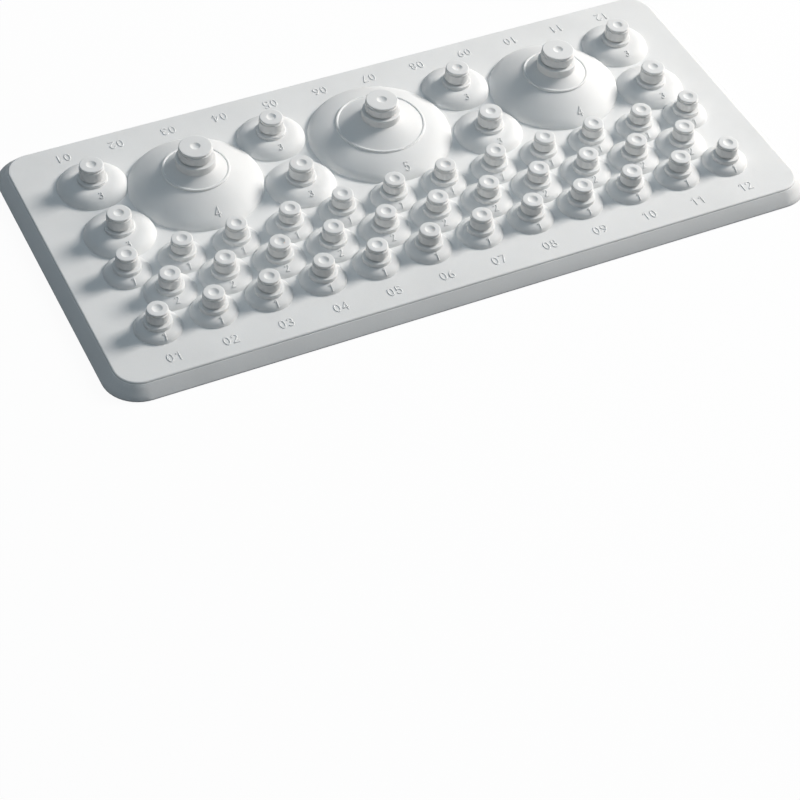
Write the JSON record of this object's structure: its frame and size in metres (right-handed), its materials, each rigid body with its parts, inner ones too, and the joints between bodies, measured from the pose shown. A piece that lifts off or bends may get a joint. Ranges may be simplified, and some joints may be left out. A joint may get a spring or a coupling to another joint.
{
  "type": "rubber gland plate",
  "caption": "Flat moulded rubber plate with closed cone-shaped cable membranes in five sizes, for sealing cable entries into an enclosure.",
  "frame": {"origin": "middle of the underside", "axes": "+X along the long side, +Y from the rows of small membranes towards the large ones, +Z out through the nipples"},
  "size_m": [0.2224, 0.106, 0.0189],
  "materials": {
    "rubber": "matte light grey moulding"
  },
  "bodies": {
    "root": {"gland_plate": "rubber"}
  },
  "joints": []
}
